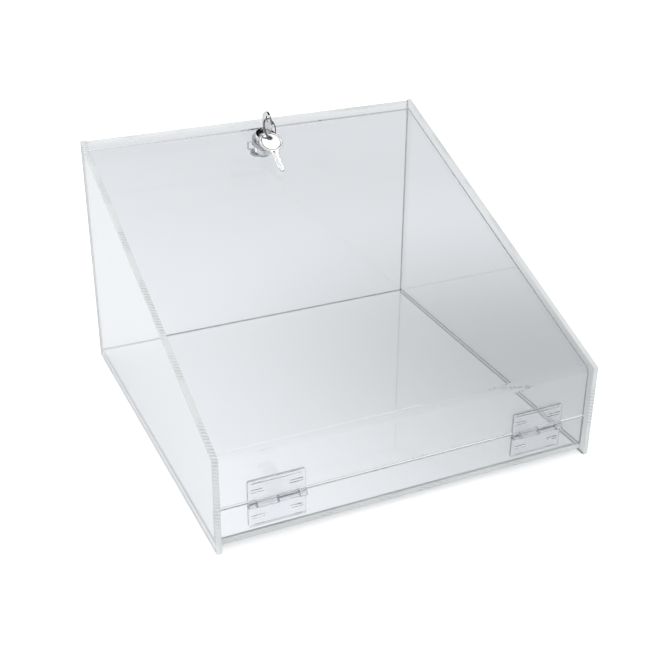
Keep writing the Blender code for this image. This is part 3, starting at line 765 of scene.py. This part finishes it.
@dataclass
class Hinge:
    """A moulded hinge: two like leaves, the upper one the lower one turned over, and the pin in them."""

    side: str
    middle: Vector
    width: float = 42.0 * MM
    height: float = 18.6 * MM
    thickness: float = 2.0 * MM
    corner: float = 1.5 * MM
    knuckle: float = 2.7 * MM
    short_knuckle: float = 5.5 * MM
    gap: float = 0.4 * MM
    notch_room: float = 0.3 * MM
    pin: float = 1.2 * MM
    bore: float = 1.3 * MM
    pin_proud: float = 0.8 * MM
    groove_inset: float = 2.0 * MM
    groove_width: float = 0.8 * MM
    groove_depth: float = 0.8 * MM
    groove_span: Span = (0.06, 0.97)
    groove_ends: tuple[Span, ...] = ((0.09, 0.26), (0.76, 0.93))
    groove_shallow: float = 0.45
    ribs: tuple[tuple[float, float, float], ...] = ((9.6 * MM, 0.05, 0.30), (11.6 * MM, 0.05, 0.28),
                                                    (9.2 * MM, 0.72, 0.95), (11.2 * MM, 0.75, 0.95))
    rib_width: float = 0.7 * MM
    rib_height: float = 0.5 * MM
    edge_rounding: Span = (0.4 * MM, 0.3 * MM)
    knuckle_rounding: float = 0.25 * MM
    bore_rounding: float = 0.1 * MM
    pin_rounding: float = 0.6 * MM
    around: int = 48
    columns: int = 141
    rows: tuple[tuple[float, float, int], ...] = ((0.0, 1.0, 50), (0.071, 0.172, 30), (0.381, 0.602, 36))

    def knuckle_spans(self) -> list[Span]:
        """Stretches of the pin that one leaf covers, the short one and then the long one."""
        half = self.width / 2.0
        return [(-half, -half + self.short_knuckle - self.gap / 2.0),
                (self.gap / 2.0, half - self.short_knuckle - self.gap / 2.0)]

    def relief(self, x: np.ndarray, z: np.ndarray) -> np.ndarray:
        """How far the leaf's front stands proud of its plain face.

        A groove runs along the free edge, deeper near its two ends, and two short ribs lie at each end
        of the leaf. Where they start and end is a share of the leaf's width, and a rib's place is its
        distance below the pin. The free edge falls back by (1 - d / r) ** 2 at distance d from it.

        Args:
            x: place along the pin of each point.
            z: its height, the pin at 0.

        Returns:
            The relief in metres, below 0 in the groove.
        """
        share = (x + self.width / 2.0) / self.width
        ends = sum(bell(share, *end) for end in self.groove_ends)
        groove = strip(z, self.groove_inset - self.height, self.groove_width)
        groove *= bell(share, *self.groove_span)
        groove *= self.groove_shallow + (1.0 - self.groove_shallow) * ends
        ribs = sum(strip(z, -place, self.rib_width) * bell(share, *span) for place, *span in self.ribs)
        rounded, fall = self.edge_rounding
        rounding = np.clip(1.0 - (z + self.height) / rounded, 0.0, 1.0) ** 2 * fall
        return self.rib_height * ribs - self.groove_depth * groove - rounding

    def plate(self) -> Surface:
        """Flat part of a leaf, hanging from the pin along x.

        Cross-sections stand along x. Each has a front of many points, y = front - relief(x, z), and a
        flat back. Its foot rises near the ends by r - sqrt(r r - d d), which rounds the lower corners.
        The rows of points lie closer together where the groove and the ribs are.
        """
        half = self.width / 2.0
        front = self.knuckle - self.thickness
        notch = -(self.knuckle + self.notch_room)
        reach = -self.knuckle / 3.0
        spans = self.knuckle_spans()
        places = [np.linspace(-half, half, self.columns)] + [np.repeat(span, 2) for span in spans]
        x = np.sort(np.concatenate(places))
        top = np.full(len(x), notch)
        for start, end in spans:
            top[np.where(x == start)[0][-1]:np.where(x == end)[0][0] + 1] = reach
        depth = np.clip(np.abs(x) - (half - self.corner), 0.0, self.corner)
        foot = -self.height + self.corner - np.sqrt(self.corner ** 2 - depth ** 2)
        share = np.sort(np.concatenate([np.linspace(*row) for row in self.rows]))
        z = foot[:, None] + (top - foot)[:, None] * share[None, :]
        wide = np.broadcast_to(x[:, None], z.shape)
        y = front - self.relief(wide, z)
        loops = np.stack([wide, y, z], axis=-1)
        back_top = np.stack([x, np.full(len(x), self.knuckle), top], axis=-1)[:, None]
        back_foot = np.stack([x, np.full(len(x), self.knuckle), foot], axis=-1)[:, None]
        return skin(np.concatenate([loops, back_top, back_foot], axis=1))

    def rod(self, start: float, end: float, radius: float, rounding: float) -> Surface:
        """Solid rod along x. At distance d from an end its radius is less by r - sqrt(r r - (r - d) ** 2).

        Args:
            start: where it starts in x.
            end: where it ends.
            radius: its radius.
            rounding: the r of its ends.

        Returns:
            The closed surface.
        """
        arc = np.linspace(0.0, math.pi / 2.0, 6)
        radii = radius - rounding + rounding * np.sin(arc)
        inset = rounding * (1.0 - np.cos(arc))
        x = np.concatenate([[start], start + inset, end - inset[::-1], [end]])
        r = np.concatenate([[0.0], radii, radii[::-1], [0.0]])[:, None]
        turn = full_turn(self.around).T
        wide = np.repeat(x[:, None], self.around, 1)
        return skin(np.stack([wide, r * np.cos(turn), r * np.sin(turn)], axis=-1))

    def leaf(self, name: str, over: bool) -> bpy.types.Object:
        """Make one leaf at its hinge.

        Args:
            name: the piece's name.
            over: whether it is turned over about y, as the upper leaf is.

        Returns:
            The leaf with its knuckles joined on and its bore cut.
        """
        piece = make_mesh(name, self.plate())
        rods = [self.rod(*span, self.knuckle, self.knuckle_rounding) for span in self.knuckle_spans()]
        knuckles = [make_mesh(f"{name}_knuckle_{index}", rod) for index, rod in enumerate(rods)]
        cut(piece, knuckles, "UNION")
        bore = self.rod(-self.width, self.width, self.bore, self.bore_rounding)
        cut(piece, [make_mesh(f"{name}_bore", bore)])
        flip = np.array([-1.0, 1.0, -1.0]) if over else np.ones(3)
        move(piece, lambda points: points * flip + np.array(self.middle))
        return piece

    def build(self, material: Material) -> None:
        """Make both leaves and the pin.

        Args:
            material: the clear moulding's finish.
        """
        lower = f"{self.side}_hinge_lower_leaf"
        upper = f"{self.side}_hinge_upper_leaf"
        finish_piece(self.leaf(f"{lower}_moulding", False), material, Body.CASE, (lower,))
        finish_piece(self.leaf(f"{upper}_moulding", True), material, Body.LID, (upper,))
        rod = self.rod(-self.width / 2.0, self.width / 2.0 + self.pin_proud, self.pin, self.pin_rounding)
        pin = make_mesh(f"{self.side}_hinge_pin_rod", rod)
        move(pin, lambda points: points + np.array(self.middle))
        finish_piece(pin, material, Body.CASE, (f"{self.side}_hinge_pin",))


@dataclass
class CamLock:
    """The lock: head and threaded barrel, washer, nut, plug with its wafers, cam and screw.

    Heights are measured from the lid's outer face. The dish is the hollow in the head, by the radius and
    height of its corners.
    """

    axes: Axes
    head_radius: float = 8.7 * MM
    head_height: float = 3.0 * MM
    head_rounding: float = 0.8 * MM
    head_chamfer: float = 0.15 * MM
    dish: tuple[Span, ...] = ((7.2 * MM, 3.0 * MM), (6.9 * MM, 2.86 * MM), (6.0 * MM, 2.8 * MM),
                              (5.75 * MM, 2.86 * MM))
    lip: float = 2.75 * MM
    key_stop: float = 3.3 * MM
    seat: float = 0.3 * MM
    barrel_radius: float = 7.7 * MM
    barrel_end: float = -16.8 * MM
    barrel_chamfer: float = 0.5 * MM
    bore: float = 5.5 * MM
    thread_pitch: float = 1.0 * MM
    thread_depth: float = 0.45 * MM
    thread_top: float = -0.2 * MM
    thread_runout: float = 0.3 * MM
    thread_rows: int = 8
    steps: int = 96
    washer_radius: float = 11.0 * MM
    washer_thickness: float = 0.8 * MM
    washer_rounding: float = 0.2 * MM
    sheet: float = 4.0 * MM
    nut_half: float = 10.0 * MM
    nut_circle: float = 9.75 * MM
    nut_thickness: float = 4.0 * MM
    nut_rounding: float = 0.3 * MM
    nut_steps: int = 120
    cam_bottom: float = -19.1 * MM
    screw_radius: float = 1.3 * MM
    screw_head: float = 4.2 * MM
    screw_height: float = 1.8 * MM
    screw_rounding: float = 0.4 * MM
    screw_slot: float = 1.0 * MM
    screw_top: float = -15.5 * MM

    def housing(self) -> Surface:
        """Head and barrel in one: a profile set round the axis, with a thread rolled into the barrel.

        The barrel's radius at turn t and height z is less by depth * |2 frac(z / pitch - t / 2 pi) - 1|.
        """
        rise = np.linspace(0.0, math.pi / 2.0, 7)
        soft = self.head_rounding
        corner = np.stack([self.head_radius - soft + soft * np.cos(rise),
                           self.head_height - soft + soft * np.sin(rise)], axis=1)
        z = np.arange(self.thread_top, self.barrel_end + self.thread_runout,
                      -self.thread_pitch / self.thread_rows)
        barrel = np.stack([np.full(len(z), self.barrel_radius), z], axis=1)
        inside = np.array([[self.bore, self.lip], [self.bore, self.barrel_end],
                           [self.barrel_radius - self.barrel_chamfer, self.barrel_end]])
        under = np.array([[self.barrel_radius, self.seat],
                          [self.head_radius - self.head_chamfer, self.seat],
                          [self.head_radius, self.seat + self.head_chamfer]])
        profile = np.concatenate([inside, barrel[::-1], under, corner, self.dish])
        corners = np.tile(profile, (self.steps, 1, 1))
        radius, height = corners[..., 0], corners[..., 1]
        thread = slice(len(inside), len(inside) + len(barrel))
        wave = height[:, thread] / self.thread_pitch - full_turn(self.steps) / (2.0 * math.pi)
        radius[:, thread] -= self.thread_depth * np.abs(2.0 * (wave % 1.0) - 1.0)
        return spun(radius, height)

    def washer(self) -> Surface:
        """Flat washer under the lid, its rims rounded by the punch."""
        top = -self.sheet - self.seat
        low = top - self.washer_thickness
        inner = self.barrel_radius + self.seat
        rim, soft = self.washer_radius, self.washer_rounding
        return turned([(inner, top), (rim - soft, top), (rim, top - soft), (rim, low + soft),
                       (rim - soft, low), (inner, low)])

    def nut(self) -> Surface:
        """Hexagon nut. Its side stands at half / cos(t - nearest flat) at turn t, and its faces fall away
        beyond the chamfer circle by half of the distance from it."""
        top = -self.sheet - self.washer_thickness - 2.0 * self.seat
        low = top - self.nut_thickness
        flat = (full_turn(self.nut_steps) - math.radians(30)) % math.radians(60)
        side = self.nut_half / np.cos(np.minimum(flat, math.radians(60) - flat))
        fall = 0.5 * (side - self.nut_circle)
        inner = self.barrel_radius + self.seat
        ring, soft = self.nut_circle, self.nut_rounding
        radii = (inner, inner + soft, ring, side, side, ring, inner + soft, inner)
        heights = (top - soft, top, top, top - fall, low + fall, low, low, low + soft)
        radius, height = (np.concatenate([np.broadcast_to(value, side.shape) for value in values], axis=1)
                          for values in (radii, heights))
        return spun(radius, height)

    def screw(self) -> bpy.types.Object:
        """Cheese-head screw with its slot cut across the head."""
        head_top = self.cam_bottom - self.seat
        head_low = head_top - self.screw_height
        arc = np.linspace(math.pi / 2.0, 0.0, 6)
        head, soft = self.screw_head, self.screw_rounding
        rim = zip(head - soft + soft * np.sin(arc), head_low + soft - soft * np.cos(arc))
        profile = [(0.0, self.screw_top), (self.screw_radius, self.screw_top),
                   (self.screw_radius, head_top), (head, head_top), *rim, (0.0, head_low)]
        piece = make_mesh("cam_screw_turned", turned(profile))
        half = self.screw_slot / 2.0
        low, high = head_low - half, head_low + self.screw_slot
        loop = np.array([(-half, low), (half, low), (half, high), (-half, high)])
        wide = 2.0 * head
        loops = np.stack([np.column_stack([np.full(4, place), loop]) for place in (-wide, wide)])
        cut(piece, [make_mesh("screw_slot_cutter", skin(loops))])
        return piece

    def build(self, chrome: Material, steel: Material,
              brass: Material) -> None:
        """Make the turned pieces and dress the plug, its wafers and the cam.

        Args:
            chrome: finish of the visible lock parts.
            steel: finish of the parts under the lid.
            brass: finish of the wafers.
        """
        housing = make_mesh("lock_housing_turned", self.housing())
        washer = make_mesh("lock_washer_punched", self.washer())
        nut = make_mesh("lock_nut_hexagon", self.nut())
        screw = self.screw()
        for piece in (housing, washer, nut, screw):
            move(piece, self.axes.place)
        finish_piece(housing, chrome, Body.LID, ("lock_housing",))
        finish_piece(washer, steel, Body.LID, ("lock_washer",))
        finish_piece(nut, steel, Body.LID, ("lock_nut",), sharp=20.0)
        finish_piece(screw, steel, Body.PLUG, ("cam_screw",))
        dress("lock_plug", chrome)
        dress("lock_cam", steel)
        for number in range(1, 6):
            dress(f"lock_wafer_{number}", brass)


@dataclass
class Key:
    """A flat steel key: cut blade, square shoulder and a round bow with a raised rim and a hole."""

    name: str
    node: str
    body: Body
    axes: Axes
    thickness: float = 1.8 * MM
    blade_width: float = 6.2 * MM
    blade_length: float = 18.5 * MM
    tip: float = 3.2 * MM
    cuts: tuple[float, ...] = (0.8, 1.4, 0.6, 1.2, 0.9)
    cut_pitch: float = 2.6 * MM
    cut_flat: float = 0.8 * MM
    shoulder_width: float = 7.6 * MM
    bow_radius: float = 9.7 * MM
    bow_centre: float = 11.2 * MM
    hole_radius: float = 2.75 * MM
    hole_centre: float = 15.5 * MM
    rim: float = 1.3 * MM
    rim_height: float = 0.28 * MM
    rim_slope: float = 0.35 * MM
    groove_depth: float = 0.45 * MM
    groove_place: float = -0.9 * MM
    groove_half: float = 0.75 * MM
    groove_end: float = 0.3 * MM
    edge_rounding: float = 0.45 * MM
    blade_rows: int = 120
    bow_rows: int = 150
    columns: int = 61

    def outline(self, b: np.ndarray) -> tuple[np.ndarray, np.ndarray]:
        """Left and right edge of the key at each place b along it, the shoulder at 0.

        The bow's edge is sqrt(r r - (b - centre) ** 2), the shoulder's is straight down to 0, and the
        blade's right edge follows the cuts and its left edge is straight, both narrowing at the tip.

        Args:
            b: the places along the key.

        Returns:
            The left and the right edge at each place.
        """
        half = self.blade_width / 2.0
        shoulder = self.shoulder_width / 2.0
        bow = np.sqrt(np.clip(self.bow_radius ** 2 - (b - self.bow_centre) ** 2, 0.0, None))
        meet = self.bow_centre - math.sqrt(self.bow_radius ** 2 - shoulder ** 2)
        knots = [(-self.blade_length, half / 2.0), (-self.blade_length + self.tip, half)]
        for index in reversed(range(len(self.cuts))):
            middle = -self.cut_pitch * (index + 1)
            low = half - self.cuts[index] * MM
            knots += [(middle - self.cut_pitch / 2.0, half), (middle - self.cut_flat / 2.0, low),
                      (middle + self.cut_flat / 2.0, low)]
        knots += [(-self.cut_pitch / 2.0, half), (0.0, half)]
        places = np.array(knots)
        right = np.interp(b, places[:, 0], places[:, 1])
        left = np.interp(b, [-self.blade_length, -self.blade_length + self.tip], [half / 2.0, half])
        body = np.where(b > meet, bow, shoulder)
        return np.where(b > 0.0, -body, -left), np.where(b > 0.0, body, right)

    def half_thickness(self, a: np.ndarray, b: np.ndarray, left: np.ndarray, right: np.ndarray,
                       front: bool) -> np.ndarray:
        """Distance of a face from the key's middle plane.

        It is half the thickness at the rim of the bow, less inside the rim, and on the blade's front less
        again along a milled groove, whose walls take a third of its half width. At distance d from an edge
        it is less by r - sqrt(r r - (r - d) ** 2).

        Args:
            a: place of each point across the key.
            b: its place along the key.
            left: left edge at that place.
            right: right edge at that place.
            front: whether the face is the front, which has the groove.

        Returns:
            The distance at each point.
        """
        soft = self.edge_rounding
        edge = np.clip(np.minimum(a - left, right - a) / soft, 0.0, 1.0)
        round_off = soft * (1.0 - np.sqrt(1.0 - (1.0 - edge) ** 2))
        inside = self.bow_radius - self.rim - np.hypot(a, b - self.bow_centre)
        sunk = self.rim_height * np.clip(inside / self.rim_slope, 0.0, 1.0)
        groove = 0.0
        if front:
            wall = 3.0 * (1.0 - np.abs(a - self.groove_place) / self.groove_half)
            groove = self.groove_depth * np.clip(wall, 0.0, 1.0) * (b < self.groove_end)
        return self.thickness / 2.0 - sunk - groove - round_off

    def sections(self) -> Surface:
        """Cross-sections set along the key, closer together towards the top of the bow.

        Two of them stand a hair apart where the blade meets the shoulder.
        """
        hair = 0.001 * MM
        blade = np.linspace(-self.blade_length, -hair, self.blade_rows)
        knots = -self.cut_pitch * (np.arange(len(self.cuts) + 1) + 0.5)
        bow = self.bow_centre - self.bow_radius * np.cos(np.linspace(0.0, math.pi, self.bow_rows))
        b = np.sort(np.concatenate([blade, knots, [hair], bow[bow > hair]]))
        b = np.clip(b, -self.blade_length, self.bow_centre + self.bow_radius - hair / 2.0)
        left, right = (edge[:, None] for edge in self.outline(b))
        a = left + (right - left) * (0.5 - 0.5 * np.cos(np.linspace(0.0, math.pi, self.columns)))
        rise = np.broadcast_to(b[:, None], a.shape)
        front = self.half_thickness(a, rise, left, right, True)
        back = -self.half_thickness(a, rise, left, right, False)
        face = np.stack([a, rise, front], axis=-1)
        rear = np.stack([a, rise, back], axis=-1)[:, ::-1]
        return skin(np.concatenate([face, rear], axis=1))

    def build(self, material: Material) -> None:
        """Make the key and drill the hole for the ring.

        Args:
            material: the key's finish.
        """
        piece = make_mesh(self.name, self.sections())
        deep = 2.0 * self.thickness
        drill = turned([(0.0, -deep), (self.hole_radius, -deep), (self.hole_radius, deep), (0.0, deep)], 64)
        drill.points = drill.points + np.array([0.0, self.hole_centre, 0.0])
        cut(piece, [make_mesh(f"{self.name}_drill", drill)])
        move(piece, self.axes.place)
        finish_piece(piece, material, self.body, (self.node,), sharp=30.0)


@dataclass
class SplitRing:
    """Split ring of spring wire, wound twice."""

    centre: Vector
    across: Vector
    up: Vector
    radius: float = 8.8 * MM
    wire: float = 0.45 * MM
    pitch: float = 1.0 * MM
    step_angle: float = math.radians(50)
    end_gap: float = math.radians(5)
    steps: int = 300
    nose_steps: int = 4
    around: int = 16

    def tube(self) -> Surface:
        """Wire swept round its path, its ends rounded.

        The path at angle t is centre + radius (cos t across + sin t up) + offset * normal. The offset
        goes from minus to plus half the pitch by the smooth step 3 s s - 2 s s s near t = 2 pi. The first
        and last few of its even steps make room for the rounded noses.
        """
        normal = self.across.cross(self.up)
        first = self.step_angle / 2.0 + self.end_gap
        last = 4.0 * math.pi - first
        nose = np.linspace(0.0, math.pi / 2.0, 6)
        inset = self.wire * (1.0 - np.cos(nose)) / self.radius
        middle = np.linspace(first, last, self.steps)[self.nose_steps:-self.nose_steps]
        angle = np.concatenate([first + inset, middle, (last - inset)[::-1]])
        swell = np.concatenate([np.sin(nose), np.ones(len(middle)), np.sin(nose)[::-1]])
        start = 2.0 * math.pi - self.step_angle / 2.0
        part = np.clip((angle - start) / self.step_angle, 0.0, 1.0)
        offset = self.pitch * (part * part * (3.0 - 2.0 * part) - 0.5)
        across, up, flat = (np.array(vector) for vector in (self.across, self.up, normal))
        outward = np.cos(angle)[:, None] * across + np.sin(angle)[:, None] * up
        path = np.array(self.centre) + self.radius * outward + offset[:, None] * flat
        turn = full_turn(self.around)
        spoke = np.cos(turn) * outward[:, None, :] + np.sin(turn) * flat
        return skin(path[:, None, :] + self.wire * swell[:, None, None] * spoke)

    def build(self, material: Material) -> None:
        """Make the ring.

        Args:
            material: the ring's finish.
        """
        piece = make_mesh("key_ring_wire", self.tube())
        finish_piece(piece, material, Body.RING, ("key_ring",), sharp=50.0)


def dress(node: str, finish: Material) -> None:
    """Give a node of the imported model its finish.

    Args:
        node: the node's name.
        finish: the material for all of it.
    """
    mesh = frame["nodes"][node].data
    mesh.materials.clear()
    mesh.materials.append(finish)
    log.info("%s dressed in %s", node, finish.name)


def main() -> None:
    """Build the studio, then the case, piece by piece."""
    logging.basicConfig(level=logging.INFO, format="%(message)s")
    Studio().build()
    joints = {row["name"]: row for row in frame["joints"]}
    right = Vector(RIGHT)
    slope = -Vector(joints["plug_turn"]["axis"])
    uphill = slope.cross(right)
    lock_point = Vector(joints["plug_turn"]["pos_m"])
    Sheets(uphill).build()
    moulding = MouldedPlastic().material()
    pin_line = Vector(joints["lid_hinge"]["pos_m"])
    for side, place in (("left", -105.0 * MM), ("right", 101.5 * MM)):
        Hinge(side, pin_line + place * right).build(moulding)
    chrome = PlatedMetal("bright_chrome", "#D4D6D9", 0.06, 3.0 * MM, 0.05).material()
    steel = PlatedMetal("zinc_plated_steel", "#B4B7BA", 0.30, 1.0 * MM, 0.2).material()
    brass = PlatedMetal("stamped_brass", "#DDC07A", 0.35, 1.0 * MM, 0.2).material()
    nickel = PlatedMetal("nickel_plated_steel", "#DADBDC", 0.11, 2.0 * MM, 0.08).material()
    CamLock(Axes(lock_point, right, uphill)).build(chrome, steel, brass)
    shoulder = lock_point + CamLock.key_stop * slope
    Key("lock_key_cut", "lock_key", Body.KEY, Axes(shoulder, uphill, slope)).build(nickel)
    to_bow = Vector((-0.002769, 0.82145, 0.570274))
    facing = -Vector(joints["spare_key_swing"]["axis"])
    spare_hole = Vector(joints["spare_key_swing"]["pos_m"])
    spare = Axes(spare_hole - Key.hole_centre * to_bow, to_bow.cross(facing), to_bow)
    Key("spare_key_cut", "spare_key", Body.SPARE, spare).build(nickel)
    ring_up = Vector((0.0, 0.506034, 0.862514))
    ring_across = Vector((0.777146, 0.542797, -0.318457))
    ring_centre = Vector(joints["ring_swing"]["pos_m"]) - SplitRing.radius * ring_up
    spring = PlatedMetal("spring_steel_wire", "#86888B", 0.12, 2.0 * MM, 0.1).material()
    SplitRing(ring_centre, ring_across, ring_up).build(spring)


if __name__ == "__main__":
    main()
